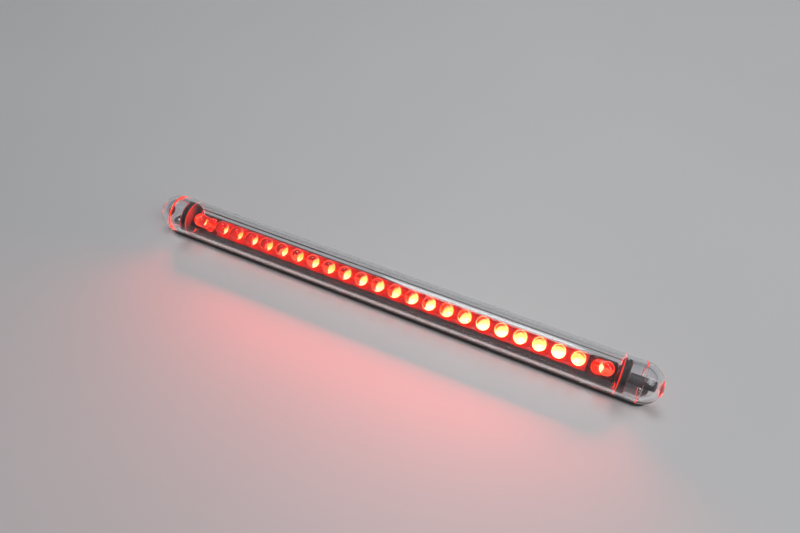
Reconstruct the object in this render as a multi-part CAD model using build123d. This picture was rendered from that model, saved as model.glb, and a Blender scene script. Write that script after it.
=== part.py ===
from build123d import *
import os
from math import sqrt

# A slim third brake light. A clear round tube with domed end caps holds a circuit board with
# one row of red 5 mm LEDs, and lies in a thin black base with adhesive tape under it.
#
# X runs along the bar, with the cable end at +X. -Y is the front and +Z is up. The origin is
# in the middle of the tape's underside. All sizes are in millimetres.
#
# The lamp's inside is drawn in the lamp's own frame, which has its origin on the tube's axis
# and Z along the LEDs. LAMP then stands it in the base, turned to its aim.

# ---- the row of LEDs
LED_COUNT = 24
LED_PITCH = 7.0
LEDS_PER_STRING = 3
END_LED_LEAN = 25.0  # the first and last LED lean outwards, in degrees
AIM_ANGLE = 30.0  # the LEDs lean from straight up towards the front, in degrees

# ---- one 5 mm LED
LED_RADIUS = 2.5
LED_HEIGHT = 8.6
FLANGE_RIM = 0.4
FLANGE_HEIGHT = 1.0
FLANGE_FLAT_DEPTH = 0.3

# ---- the LED's stamped lead frame
LEAD_SPACING = 2.54
LEAD_WIDTH = 0.5
LEAD_BEND_HEIGHT = 0.3
LEAD_TAIL = 1.0
ANVIL_BOTTOM = 1.9
ANVIL_TOP = 3.1
ANVIL_REACH = 0.6
FLAG_TOP = 4.2
FLAG_BOTTOM = 3.2
FLAG_SHOULDER = 2.8
FLAG_OVERHANG = 0.25
CUP_RADIUS = 0.85
CUP_HEIGHT = 0.9
CUP_DEPTH = 0.6
CUP_MOUTH_RADIUS = 0.75
CUP_FLOOR_RADIUS = 0.4
DIE_SIZE = 0.3
DIE_HEIGHT = 0.2

# ---- the clear tube
TUBE_OUTER_RADIUS = 7.5
TUBE_WALL = 1.3
TUBE_END_ROOM = 15.0  # from the last LED's foot to the end of the tube
RAIL_HEIGHT = 0.8
RAIL_REACH = 0.45  # how far a rail covers the board's edge
RAIL_GAP = 0.1

# ---- the circuit board and the strip that holds the LEDs upright
BOARD_THICKNESS = 1.0
BOARD_CLEARANCE = 0.15
BOARD_END_GAP = 0.9
BOARD_CORNER = 0.5
LEAD_HOLE_RADIUS = 0.45
CARRIER_THICKNESS = 2.0
CARRIER_SIDE_WALL = 0.3
CARRIER_END_WALL = 0.4
CARRIER_RAIL_GAP = 0.25
POCKET_GAP = 0.1

# ---- parts on the back of the board
SOLDER_BASE_RADIUS = 0.85
SOLDER_TIP_RADIUS = 0.4
SOLDER_HEIGHT = 0.8
RESISTOR_LENGTH = 3.2
RESISTOR_WIDTH = 1.6
RESISTOR_HEIGHT = 0.6
RESISTOR_CAP_LENGTH = 0.5
DIODE_LENGTH = 2.7
DIODE_WIDTH = 1.6
DIODE_HEIGHT = 1.1
DIODE_TAB_LENGTH = 0.6
DIODE_TAB_WIDTH = 0.7
DIODE_TAB_HEIGHT = 0.15
TERMINAL_LENGTH = 2.0
TERMINAL_WIDTH = 1.6
TERMINAL_HEIGHT = 0.4
TERMINAL_SPACING = 3.8
TERMINAL_EDGE = 0.9

# ---- the end caps and seals
SPIGOT_LENGTH = 5.0
SPIGOT_WALL = 0.9
SEAL_THICKNESS = 2.6
SEAL_GROOVE_DEPTH = 0.5
SEAL_GROOVE_WIDTH = 1.0
SEAL_CHAMFER = 0.25
FIT_GAP = 0.05

# ---- the cable gland and the blanking plug
GLAND_BORE_RADIUS = 1.3
GLAND_WALL = 0.7
GLAND_COLLAR_RIM = 1.0
GLAND_COLLAR_THICKNESS = 1.0
PLUG_BARB_RIM = 0.4
PLUG_BARB_LENGTH = 1.2

# ---- the base and its tape
BASE_WIDTH = 10.0
BASE_HEIGHT = 1.9
BASE_WEB = 0.55
BASE_END_INSET = 2.5
BASE_EDGE_ROUNDING = 0.3
BOND_GAP = 0.05
TAPE_THICKNESS = 0.6
TAPE_EDGE_INSET = 1.0

# ---- sizes that follow from the ones above
FLANGE_RADIUS = LED_RADIUS + FLANGE_RIM
POCKET_RADIUS = FLANGE_RADIUS + POCKET_GAP
CARRIER_HALF_WIDTH = POCKET_RADIUS + CARRIER_SIDE_WALL
RAIL_INNER_EDGE = CARRIER_HALF_WIDTH + CARRIER_RAIL_GAP
BOARD_HALF_WIDTH = RAIL_INNER_EDGE + RAIL_REACH

BORE_RADIUS = TUBE_OUTER_RADIUS - TUBE_WALL
BOARD_BOTTOM = -sqrt((BORE_RADIUS - BOARD_CLEARANCE) ** 2 - BOARD_HALF_WIDTH**2)
BOARD_TOP = BOARD_BOTTOM + BOARD_THICKNESS
LEAD_TIP = BOARD_BOTTOM - LEAD_TAIL

LED_ROW_END = (LED_COUNT - 1) * LED_PITCH / 2
TUBE_END = LED_ROW_END + TUBE_END_ROOM
DOME_TIP = TUBE_END + TUBE_OUTER_RADIUS
SEAL_OUTER_FACE = TUBE_END - SPIGOT_LENGTH
SEAL_INNER_FACE = SEAL_OUTER_FACE - SEAL_THICKNESS
BOARD_END = SEAL_INNER_FACE - BOARD_END_GAP

PLUG_FIT_RADIUS = BORE_RADIUS - FIT_GAP
CAP_CAVITY_RADIUS = PLUG_FIT_RADIUS - SPIGOT_WALL
GLAND_RADIUS = GLAND_BORE_RADIUS + GLAND_WALL
GLAND_HOLE_RADIUS = GLAND_RADIUS + FIT_GAP

AXIS_HEIGHT = TAPE_THICKNESS + BASE_WEB + BOND_GAP + TUBE_OUTER_RADIUS
LAMP = Location((0, 0, AXIS_HEIGHT), (AIM_ANGLE, 0, 0))

UPWARDS = (Align.CENTER, Align.CENTER, Align.MIN)
DOWNWARDS = (Align.CENTER, Align.CENTER, Align.MAX)


def rod(radius, start, end):
    """A round bar on the tube's axis, from one x to another."""
    length = end - start
    return Pos((start + end) / 2, 0, 0) * Rot(0, 90, 0) * Cylinder(radius, length)


def ring(outer_radius, inner_radius, start, end):
    return rod(outer_radius, start, end) - rod(inner_radius, start, end)


def mirrored_to_left(shape):
    """The left-hand copy of a shape made at the right-hand end."""
    return shape.mirror(Plane.YZ)


# ---- LEDs


def led_places():
    """The x of each LED's foot, from left to right."""
    return [-LED_ROW_END + index * LED_PITCH for index in range(LED_COUNT)]


def led_seat(index):
    """Where an LED stands: upright on the board, or leaning outwards on its flange's edge."""
    x = led_places()[index]
    if 0 < index < LED_COUNT - 1:
        return Pos(x, 0, BOARD_TOP)
    side = 1 if index else -1
    edge = side * FLANGE_RADIUS
    return Pos(x + edge, 0, BOARD_TOP) * Rot(0, side * END_LED_LEAN, 0) * Pos(-edge, 0, 0)


def epoxy_body():
    """A clear bullet on a flange, with a flat on the cathode side."""
    flange = Cylinder(FLANGE_RADIUS, FLANGE_HEIGHT, align=UPWARDS)
    flat_x = -FLANGE_RADIUS + FLANGE_FLAT_DEPTH
    flange -= Pos(flat_x, 0, 0) * Box(
        FLANGE_RIM, 2 * FLANGE_RADIUS, FLANGE_HEIGHT, align=(Align.MAX, Align.CENTER, Align.MIN)
    )
    barrel_height = LED_HEIGHT - LED_RADIUS
    barrel = Cylinder(LED_RADIUS, barrel_height, align=UPWARDS)
    dome = Pos(0, 0, barrel_height) * Sphere(LED_RADIUS)
    return flange + barrel + dome


def stamping(seat, led_x, lead_x, top_outline):
    """A lead with its head, cut from flat sheet. The head is in the LED's frame and the tail
    goes straight through the board."""
    half = LEAD_WIDTH / 2
    head = [(seat * Pos(x, 0, z)).position for x, z in top_outline]
    foot = led_x + lead_x
    tail = [
        Vector(foot + half, 0, BOARD_TOP),
        Vector(foot + half, 0, LEAD_TIP),
        Vector(foot - half, 0, LEAD_TIP),
        Vector(foot - half, 0, BOARD_TOP),
    ]
    outline = make_face(Polyline(*head, *tail, close=True))
    return extrude(outline, half, dir=(0, 1, 0), both=True)


def cathode_stamping(seat, led_x):
    """The cathode lead, its anvil, and the reflector cup that holds the die."""
    lead_x = -LEAD_SPACING / 2
    left = lead_x - LEAD_WIDTH / 2
    right = lead_x + LEAD_WIDTH / 2
    outline = [
        (left, LEAD_BEND_HEIGHT),
        (left, ANVIL_TOP),
        (ANVIL_REACH, ANVIL_TOP),
        (ANVIL_REACH, ANVIL_BOTTOM),
        (right, ANVIL_BOTTOM),
        (right, LEAD_BEND_HEIGHT),
    ]
    cup = Pos(0, 0, ANVIL_TOP) * Cylinder(CUP_RADIUS, CUP_HEIGHT, align=UPWARDS)
    hollow = Cone(CUP_FLOOR_RADIUS, CUP_MOUTH_RADIUS, CUP_DEPTH, align=DOWNWARDS)
    cup -= Pos(0, 0, ANVIL_TOP + CUP_HEIGHT) * hollow
    return stamping(seat, led_x, lead_x, outline) + seat * cup


def anode_stamping(seat, led_x):
    """The anode lead, with the flag that the bond wire ends on."""
    lead_x = LEAD_SPACING / 2
    left = lead_x - LEAD_WIDTH / 2
    right = lead_x + LEAD_WIDTH / 2
    outline = [
        (left, LEAD_BEND_HEIGHT),
        (left, FLAG_TOP),
        (right + FLAG_OVERHANG, FLAG_TOP),
        (right + FLAG_OVERHANG, FLAG_BOTTOM),
        (right, FLAG_SHOULDER),
        (right, LEAD_BEND_HEIGHT),
    ]
    return stamping(seat, led_x, lead_x, outline)


def led_die():
    """The chip that shines, on the floor of the cup."""
    floor = ANVIL_TOP + CUP_HEIGHT - CUP_DEPTH
    return Pos(0, 0, floor) * Box(DIE_SIZE, DIE_SIZE, DIE_HEIGHT, align=UPWARDS)


def lead_places():
    """The x of every lead hole in the board."""
    sides = (-LEAD_SPACING / 2, LEAD_SPACING / 2)
    return [x + side for x in led_places() for side in sides]


def gap_after(index):
    """The x halfway between one LED's foot and the next one's."""
    return led_places()[index] + LED_PITCH / 2


# ---- tube, caps and seals


def lens_tube():
    """The clear tube, with a rail on each side that keeps the board down. The rails stop
    short of the seals."""
    tube = ring(TUBE_OUTER_RADIUS, BORE_RADIUS, -TUBE_END, TUBE_END)
    rail_zone = rod((BORE_RADIUS + TUBE_OUTER_RADIUS) / 2, -SEAL_INNER_FACE, SEAL_INNER_FACE)
    for side in (Align.MIN, Align.MAX):
        edge = RAIL_INNER_EDGE if side == Align.MIN else -RAIL_INNER_EDGE
        rail = Pos(0, edge, BOARD_TOP + RAIL_GAP) * Box(
            2 * TUBE_END, TUBE_OUTER_RADIUS, RAIL_HEIGHT, align=(Align.CENTER, side, Align.MIN)
        )
        tube += rail & rail_zone
    return tube


def right_end_cap():
    """A clear domed cap with a spigot that goes into the tube, and a hole at its tip."""
    dome = Pos(TUBE_END, 0, 0) * Sphere(TUBE_OUTER_RADIUS)
    dome &= rod(TUBE_OUTER_RADIUS, TUBE_END, DOME_TIP)
    spigot = rod(PLUG_FIT_RADIUS, SEAL_OUTER_FACE, TUBE_END)
    cavity = rod(CAP_CAVITY_RADIUS, SEAL_OUTER_FACE, TUBE_END)
    cavity += Pos(TUBE_END, 0, 0) * Sphere(CAP_CAVITY_RADIUS)
    tip_hole = rod(GLAND_HOLE_RADIUS, TUBE_END, DOME_TIP)
    return dome + spigot - cavity - tip_hole


def seal_disc():
    """A rubber disc with a groove round it that leaves a lip at each face."""
    disc = rod(PLUG_FIT_RADIUS, SEAL_INNER_FACE, SEAL_OUTER_FACE)
    rims = disc.edges().filter_by(GeomType.CIRCLE)
    disc = chamfer(rims, SEAL_CHAMFER)
    middle = (SEAL_INNER_FACE + SEAL_OUTER_FACE) / 2
    half = SEAL_GROOVE_WIDTH / 2
    groove_floor = PLUG_FIT_RADIUS - SEAL_GROOVE_DEPTH
    return disc - ring(TUBE_OUTER_RADIUS, groove_floor, middle - half, middle + half)


def flush_with_dome(shape):
    """Trims what comes through the tip hole to the dome's outer face."""
    dome = Pos(TUBE_END, 0, 0) * Sphere(TUBE_OUTER_RADIUS)
    return shape & (rod(TUBE_OUTER_RADIUS, -TUBE_END, TUBE_END) + dome)


def cable_gland():
    """A rubber sleeve from the seal to the dome's tip, with the cable's bore through it."""
    collar_start = SEAL_INNER_FACE - GLAND_COLLAR_THICKNESS
    sleeve = rod(GLAND_RADIUS, collar_start, DOME_TIP)
    collar = rod(GLAND_RADIUS + GLAND_COLLAR_RIM, collar_start, SEAL_INNER_FACE)
    bore = rod(GLAND_BORE_RADIUS, collar_start, DOME_TIP)
    return flush_with_dome(sleeve + collar - bore)


def blanking_plug():
    """Closes the left cap's hole: a shank, and a barb inside."""
    cavity_tip = TUBE_END + CAP_CAVITY_RADIUS
    barb_start = cavity_tip - PLUG_BARB_LENGTH
    shank = flush_with_dome(rod(GLAND_RADIUS, barb_start, DOME_TIP))
    barb = rod(GLAND_RADIUS + PLUG_BARB_RIM, barb_start, cavity_tip)
    barb &= Pos(TUBE_END, 0, 0) * Sphere(CAP_CAVITY_RADIUS - FIT_GAP)
    return shank + barb


# ---- board


def circuit_board():
    board = Pos(0, 0, BOARD_BOTTOM) * Box(
        2 * BOARD_END, 2 * BOARD_HALF_WIDTH, BOARD_THICKNESS, align=UPWARDS
    )
    board = chamfer(board.edges().filter_by(Axis.Z), BOARD_CORNER)
    drill = Cylinder(LEAD_HOLE_RADIUS, BOARD_THICKNESS, align=UPWARDS)
    return board - [Pos(x, 0, BOARD_BOTTOM) * drill for x in lead_places()]


def led_carrier():
    """The red strip that holds the upright LEDs: a pocket for each flange, and a hole for
    each barrel above it."""
    upright = led_places()[1:-1]
    end = upright[-1] + POCKET_RADIUS + CARRIER_END_WALL
    strip = Pos(0, 0, BOARD_TOP) * Box(
        2 * end, 2 * CARRIER_HALF_WIDTH, CARRIER_THICKNESS, align=UPWARDS
    )
    pocket = Cylinder(POCKET_RADIUS, FLANGE_HEIGHT + POCKET_GAP, align=UPWARDS)
    hole = Cylinder(LED_RADIUS + POCKET_GAP, CARRIER_THICKNESS, align=UPWARDS)
    cutter = pocket + hole
    return strip - [Pos(x, 0, BOARD_TOP) * cutter for x in upright]


def solder_joint(x):
    """A cone of solder round one lead's tail."""
    cone = Cone(SOLDER_TIP_RADIUS, SOLDER_BASE_RADIUS, SOLDER_HEIGHT, align=DOWNWARDS)
    tail = Box(LEAD_WIDTH, LEAD_WIDTH, 2 * SOLDER_HEIGHT)
    return Pos(x, 0, BOARD_BOTTOM) * (cone - tail)


def resistor(x):
    """A chip resistor's ceramic body, across the board."""
    body_length = RESISTOR_LENGTH - 2 * RESISTOR_CAP_LENGTH
    body = Box(RESISTOR_WIDTH, body_length, RESISTOR_HEIGHT, align=DOWNWARDS)
    return Pos(x, 0, BOARD_BOTTOM) * body


def chip_ends(x, reach, length, width, height):
    """The two metal ends of a chip part, from its body outwards to its full reach."""
    ends = []
    for side in (-1, 1):
        middle = side * (reach - length / 2)
        end = Box(width, length, height, align=DOWNWARDS)
        ends.append(Pos(x, middle, BOARD_BOTTOM) * end)
    return ends


def polarity_diode(x):
    body = Box(DIODE_WIDTH, DIODE_LENGTH, DIODE_HEIGHT, align=DOWNWARDS)
    return Pos(x, 0, BOARD_BOTTOM) * body


def terminal(side):
    """A tinned pad that one wire of the cable is soldered to."""
    x = BOARD_END - TERMINAL_EDGE - TERMINAL_LENGTH / 2
    pad = Box(TERMINAL_LENGTH, TERMINAL_WIDTH, TERMINAL_HEIGHT, align=DOWNWARDS)
    return Pos(x, side * TERMINAL_SPACING / 2, BOARD_BOTTOM) * pad


# ---- base


def mounting_base():
    """A thin strip with round ends, hollowed on top to the shape of the lamp."""
    length = 2 * (DOME_TIP - BASE_END_INSET)
    strip = extrude(SlotOverall(length, BASE_WIDTH), BASE_HEIGHT)
    rims = strip.edges().group_by(Axis.Z)
    strip = fillet(rims[0] + rims[-1], BASE_EDGE_ROUNDING)
    strip = Pos(0, 0, TAPE_THICKNESS) * strip
    cradle_radius = TUBE_OUTER_RADIUS + BOND_GAP
    cradle = rod(cradle_radius, -TUBE_END, TUBE_END)
    cradle += Pos(TUBE_END, 0, 0) * Sphere(cradle_radius)
    cradle += Pos(-TUBE_END, 0, 0) * Sphere(cradle_radius)
    return strip - Pos(0, 0, AXIS_HEIGHT) * cradle


def adhesive_tape():
    length = 2 * (DOME_TIP - BASE_END_INSET - TAPE_EDGE_INSET)
    width = BASE_WIDTH - 2 * TAPE_EDGE_INSET
    return extrude(SlotOverall(length, width), TAPE_THICKNESS)


# ---- the whole lamp

parts = {}


def keep(name, shape):
    parts[name] = shape


def keep_in_lamp(name, shape):
    keep(name, LAMP * shape)


def keep_group_in_lamp(name, shapes):
    solids = [solid for shape in shapes for solid in shape.solids()]
    keep(name, LAMP * Compound(solids))


keep("mounting_base", mounting_base())
keep("adhesive_tape", adhesive_tape())

keep_in_lamp("lens_tube", lens_tube())
keep_in_lamp("right_end_cap", right_end_cap())
keep_in_lamp("left_end_cap", mirrored_to_left(right_end_cap()))
keep_in_lamp("left_seal", mirrored_to_left(seal_disc()))
right_seal = seal_disc() - rod(GLAND_HOLE_RADIUS, SEAL_INNER_FACE, SEAL_OUTER_FACE)
keep_in_lamp("right_seal", right_seal)
keep_in_lamp("cable_gland", cable_gland())
keep_in_lamp("blanking_plug", mirrored_to_left(blanking_plug()))

keep_in_lamp("circuit_board", circuit_board())
keep_in_lamp("led_carrier", led_carrier())

cathodes = []
anodes = []
dies = []
for index, led_x in enumerate(led_places()):
    seat = led_seat(index)
    cathode = cathode_stamping(seat, led_x)
    anode = anode_stamping(seat, led_x)
    die = seat * led_die()
    keep_in_lamp(f"led_{index + 1:02d}", seat * epoxy_body() - cathode - anode - die)
    cathodes.append(cathode)
    anodes.append(anode)
    dies.append(die)
keep_group_in_lamp("led_cathode_leads", cathodes)
keep_group_in_lamp("led_anode_leads", anodes)
keep_group_in_lamp("led_dies", dies)
keep_group_in_lamp("solder_joints", [solder_joint(x) for x in lead_places()])

resistor_ends = []
for number, first_led in enumerate(range(0, LED_COUNT, LEDS_PER_STRING), start=1):
    x = gap_after(first_led)
    keep_in_lamp(f"resistor_{number}", resistor(x))
    reach = RESISTOR_LENGTH / 2
    resistor_ends += chip_ends(x, reach, RESISTOR_CAP_LENGTH, RESISTOR_WIDTH, RESISTOR_HEIGHT)
keep_group_in_lamp("resistor_end_caps", resistor_ends)

diode_x = gap_after(LED_COUNT - 2)
diode_reach = DIODE_LENGTH / 2 + DIODE_TAB_LENGTH
diode_tabs = chip_ends(diode_x, diode_reach, DIODE_TAB_LENGTH, DIODE_TAB_WIDTH, DIODE_TAB_HEIGHT)
keep_in_lamp("polarity_diode", polarity_diode(diode_x))
keep_group_in_lamp("diode_tabs", diode_tabs)
keep_in_lamp("positive_terminal", terminal(1))
keep_in_lamp("negative_terminal", terminal(-1))

os.makedirs("parts", exist_ok=True)
for name, shape in parts.items():
    export_step(shape, f"parts/{name}.step")
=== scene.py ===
"""The looks of a third brake light: a clear round bar with domed ends and a row of lit red LEDs."""

import math
import random

import bmesh
import bpy
from mathutils import Matrix, Vector


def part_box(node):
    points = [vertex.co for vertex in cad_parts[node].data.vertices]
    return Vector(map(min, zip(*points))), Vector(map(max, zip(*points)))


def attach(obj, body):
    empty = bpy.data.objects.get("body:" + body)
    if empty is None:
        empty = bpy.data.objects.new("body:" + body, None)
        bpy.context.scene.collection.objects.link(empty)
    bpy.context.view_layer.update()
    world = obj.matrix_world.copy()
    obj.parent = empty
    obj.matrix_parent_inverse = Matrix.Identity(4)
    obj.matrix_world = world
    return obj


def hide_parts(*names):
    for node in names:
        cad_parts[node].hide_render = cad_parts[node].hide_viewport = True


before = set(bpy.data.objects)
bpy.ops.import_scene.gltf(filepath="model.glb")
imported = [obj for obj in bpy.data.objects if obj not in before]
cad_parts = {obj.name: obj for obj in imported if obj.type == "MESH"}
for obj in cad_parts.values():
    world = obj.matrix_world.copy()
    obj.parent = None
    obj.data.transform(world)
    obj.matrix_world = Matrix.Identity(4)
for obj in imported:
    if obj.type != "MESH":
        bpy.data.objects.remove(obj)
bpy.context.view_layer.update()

MM = 0.001

# ---- sizes of the lamp, read from the frame

tube_low, tube_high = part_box("lens_tube")
cap_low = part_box("right_end_cap")[0]
seal_low, seal_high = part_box("right_seal")
gland_low, gland_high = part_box("cable_gland")

AXIS_HEIGHT = (tube_low.z + tube_high.z) / 2
TUBE_RADIUS = (tube_high.z - tube_low.z) / 2
TUBE_END = tube_high.x
SPIGOT_START = cap_low.x
SPIGOT_RADIUS = (seal_high.z - seal_low.z) / 2
SEAL_INNER_FACE = seal_low.x
COLLAR_START = gland_low.x
COLLAR_RADIUS = (gland_high.z - gland_low.z) / 2

# ---- sizes of the shell, the rubber, the LEDs and the board that the frame's boxes don't give

TUBE_WALL = 1.3 * MM
BORE_RADIUS = TUBE_RADIUS - TUBE_WALL
SPIGOT_WALL = 0.9 * MM
CAVITY_RADIUS = SPIGOT_RADIUS - SPIGOT_WALL
FIT_GAP = 0.05 * MM
GLAND_RADIUS = 2.0 * MM
GLAND_BORE_RADIUS = 1.3 * MM
TIP_HOLE_RADIUS = GLAND_RADIUS + FIT_GAP
SEAM_ROUNDING = 0.12 * MM
SEAL_CHAMFER = 0.25 * MM
SEAL_GROOVE_DEPTH = 0.5 * MM
SEAL_GROOVE_WIDTH = 1.0 * MM
BARB_RIM = 0.4 * MM
BARB_LENGTH = 1.2 * MM
RAIL_INNER_EDGE = 3.55 * MM
RAIL_GAP = 0.1 * MM
RAIL_HEIGHT = 0.8 * MM

AIM = math.radians(30)
END_LED_LEAN = math.radians(25)
LED_COUNT = 24
LEDS_PER_STRING = 3
LED_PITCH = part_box("led_12")[0].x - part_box("led_11")[0].x
LED_ROW_END = (LED_COUNT - 1) * LED_PITCH / 2
LED_RADIUS = 2.5 * MM
LED_HEIGHT = 8.6 * MM
FLANGE_RADIUS = 2.9 * MM
FLANGE_HEIGHT = 1.0 * MM
CUP_TOP = 4.0 * MM
CUP_DEPTH = 0.6 * MM
CUP_MOUTH_RADIUS = 0.75 * MM
CUP_FLOOR_RADIUS = 0.4 * MM
DIE_TOP = 3.6 * MM
FLAG_TOP = 4.2 * MM
LEAD_REACH = 1.27 * MM
BOARD_TOP = -3.539 * MM
BOARD_BOTTOM = -4.539 * MM

# The lamp's own frame: origin on the tube's axis, X along the bar, Z along the LEDs.
LAMP = Matrix.Translation((0, 0, AXIS_HEIGHT)) @ Matrix.Rotation(AIM, 4, "X")

# Turns a shape drawn round Z so that its axis is the tube's, with its top to the right or left.
ALONG_BAR = Matrix.Rotation(math.pi / 2, 4, "Y")
TO_RIGHT = LAMP @ ALONG_BAR
TO_LEFT = LAMP @ Matrix.Rotation(-math.pi / 2, 4, "Y")

# ---- how finely round shapes are divided

TUBE_SEGMENTS = 256
FINE_SEGMENTS = 128
ROUND_SEGMENTS = 64
SMALL_SEGMENTS = 32
DOME_STEPS = 40
LINER_STEPS = 4
GLAND_FACE_STEPS = 6
BARB_STEPS = 4
PLUG_FACE_STEPS = 8
DOME_POLE_ANGLE = math.radians(1)
MERGE_DISTANCE = 0.001 * MM

# ---- what is inside an LED and round its foot

FLANGE_ROUNDING = 0.08 * MM
LINER_GAP = 0.02 * MM
WIRE_RADIUS = 0.022 * MM
BALL_RADIUS = 0.07 * MM

# ---- copper on the board's back

TERMINAL_X = sum(corner.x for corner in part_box("positive_terminal")) / 2
TERMINAL_Y = 1.9 * MM
SUPPLY_TRACK_Y = 3.2 * MM
CHIP_END_Y = 1.35 * MM
DIODE_TAB_Y = 1.65 * MM
TRACK_WIDTH = 0.9 * MM
TRACK_THICKNESS = 0.05 * MM
TRACK_CELL = 0.3 * MM

# ---- how the lit LEDs look

LED_RED = (1.0, 0.02, 0.006)
LED_LIGHT_COLOUR = (1.0, 0.05, 0.02)
# Painted brightness of each cup, kept as a point attribute: dimmer up its wall, and a painted shade
# on its back and left.
CUP_BRIGHTNESS_NAME = "cup_brightness"
RIM_DIMMING = 0.1
BACK_PAINTED_SHADE = 0.65
DIMMEST_LED = 0.8
ROW_POWER = 0.55

# ---- how strongly the shell's painted edge glow shows, and how it shades what is behind it

EDGE_STRENGTH = 1.3
SEAM_SHARE = 0.3
TIP_SHARE = 0.2
TIP_GLOW_WIDTH = 0.4 * MM
LIP_SHARE = 0.6
LIP_GLOW_WIDTH = 0.35 * MM
LIP_GLOW_CORE = 0.1 * MM
END_ON = 0.9
SHELL_SHADE = (0.92, 0.92, 0.92)

# ---- how deep fine patterns go

GRAIN_DEPTH = 0.03 * MM
WAVE_DEPTH = 0.05 * MM

# ---- the stage

FLOOR_SIZE = 16.0
SOFT_LIGHT_DISTANCE = 0.9
SKY_COLOUR = (0.9, 0.93, 1.0, 1)
SKY_STRENGTH = 0.22
CAMERA_LENS = 29.25
CAMERA_SENSOR = 36.0
CAMERA_TARGET = Vector((-0.4 * MM, 12.0 * MM, AXIS_HEIGHT))
CAMERA_AZIMUTH = math.radians(24.6)
CAMERA_ELEVATION = math.radians(50.7)
CAMERA_DISTANCE = 253.4 * MM

# ---- small tools for shaping pieces


def deselect_all():
    bpy.ops.object.select_all(action="DESELECT")


def activate(piece):
    deselect_all()
    piece.select_set(True)
    bpy.context.view_layer.objects.active = piece


def start_piece(name, operator, **sizes):
    """Adds a primitive and gives it a name, with nothing else selected."""
    deselect_all()
    operator(**sizes)
    piece = bpy.context.object
    piece.name = name
    piece.data.name = name
    return piece


def edit(piece):
    activate(piece)
    bpy.ops.object.mode_set(mode="EDIT")


def leave_edit():
    bpy.ops.object.mode_set(mode="OBJECT")


def select_faces(piece, test):
    """Selects, in edit mode, the faces whose middle passes a test."""
    bpy.ops.mesh.select_mode(type="FACE")
    bpy.ops.mesh.select_all(action="DESELECT")
    mesh = bmesh.from_edit_mesh(piece.data)
    for face in mesh.faces:
        face.select_set(test(face.calc_center_median()))
    bmesh.update_edit_mesh(piece.data)


def bake_place(piece):
    """Puts the piece's place into its mesh, and its object at the origin."""
    activate(piece)
    bpy.ops.object.transform_apply(location=True, rotation=True, scale=True)


def smooth(piece, degrees=35):
    activate(piece)
    bpy.ops.object.shade_smooth_by_angle(angle=math.radians(degrees))


def arc(centre, radius, start, end, steps):
    """Points (height, radius) on an arc in a lathe's outline, from the lathe's axis round."""
    points = []
    for step in range(steps + 1):
        angle = start + (end - start) * step / steps
        points.append((centre + radius * math.cos(angle), radius * math.sin(angle)))
    return points


def lathe(name, outline, segments, filled):
    """Turns an outline of (height, radius) points round Z, ring by ring. A filled shape is
    closed at both ends, and any other one where its last point meets its first."""
    piece = start_piece(
        name,
        bpy.ops.mesh.primitive_circle_add,
        vertices=segments,
        radius=outline[0][1],
        fill_type="NGON" if filled else "NOTHING",
        location=(0, 0, outline[0][0]),
    )
    bake_place(piece)
    edit(piece)
    bpy.ops.mesh.select_all(action="SELECT")
    for (height, radius), (next_height, next_radius) in zip(outline, outline[1:]):
        if filled:
            bpy.ops.mesh.extrude_region_move()
        else:
            bpy.ops.mesh.extrude_edges_move()
        growth = next_radius / radius
        bpy.ops.transform.resize(value=(growth, growth, 1))
        bpy.ops.transform.translate(value=(0, 0, next_height - height))
    bpy.ops.mesh.select_all(action="SELECT")
    bpy.ops.mesh.remove_doubles(threshold=MERGE_DISTANCE)
    bpy.ops.mesh.normals_make_consistent(inside=False)
    leave_edit()
    return piece


def smooth_copy(node, name):
    """A copy of a CAD node with its loose triangles joined and its round faces smooth."""
    piece = bpy.data.objects.new(name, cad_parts[node].data.copy())
    piece.data.name = name
    bpy.context.scene.collection.objects.link(piece)
    edit(piece)
    bpy.ops.mesh.select_all(action="SELECT")
    bpy.ops.mesh.remove_doubles(threshold=MERGE_DISTANCE)
    leave_edit()
    smooth(piece)
    return piece


def copy_piece(piece, name, matrix):
    """A copy with a mesh of its own, put in place by a matrix."""
    copy = piece.copy()
    copy.data = piece.data.copy()
    copy.name = name
    copy.data.name = name
    copy.data.transform(matrix)
    bpy.context.scene.collection.objects.link(copy)
    return copy


def join_pieces(name, pieces):
    deselect_all()
    for piece in pieces:
        piece.select_set(True)
    bpy.context.view_layer.objects.active = pieces[0]
    bpy.ops.object.join()
    joined = bpy.context.object
    joined.name = name
    joined.data.name = name
    return joined


def finish_piece(piece, material, slot, *replaced):
    piece.data.materials.clear()
    piece.data.materials.append(material)
    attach(piece, "root")
    if replaced:
        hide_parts(*replaced)


# ---- shared shader effects


def new_group(name, inputs, outputs):
    group = bpy.data.node_groups.new(name, "ShaderNodeTree")
    for socket_name, socket_type, default in inputs:
        socket = group.interface.new_socket(
            socket_name, in_out="INPUT", socket_type=socket_type
        )
        if default is not None:
            socket.default_value = default
    for socket_name in outputs:
        group.interface.new_socket(
            socket_name, in_out="OUTPUT", socket_type="NodeSocketFloat"
        )
    start = group.nodes.new("NodeGroupInput")
    end = group.nodes.new("NodeGroupOutput")
    return group, start.outputs, end.inputs


def feed(tree, value, socket):
    """Links a socket to another, or sets it to a plain value."""
    if isinstance(value, bpy.types.NodeSocket):
        tree.links.new(value, socket)
    else:
        socket.default_value = value


def calculate(tree, operation, *values):
    node = tree.nodes.new("ShaderNodeMath")
    node.operation = operation
    for socket, value in zip(node.inputs, values):
        feed(tree, value, socket)
    return node.outputs[0]


def noise(tree, vector, scale, detail=4.0, roughness=0.5):
    node = tree.nodes.new("ShaderNodeTexNoise")
    feed(tree, vector, node.inputs["Vector"])
    feed(tree, scale, node.inputs["Scale"])
    node.inputs["Detail"].default_value = detail
    node.inputs["Roughness"].default_value = roughness
    return node.outputs["Fac"]


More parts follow.
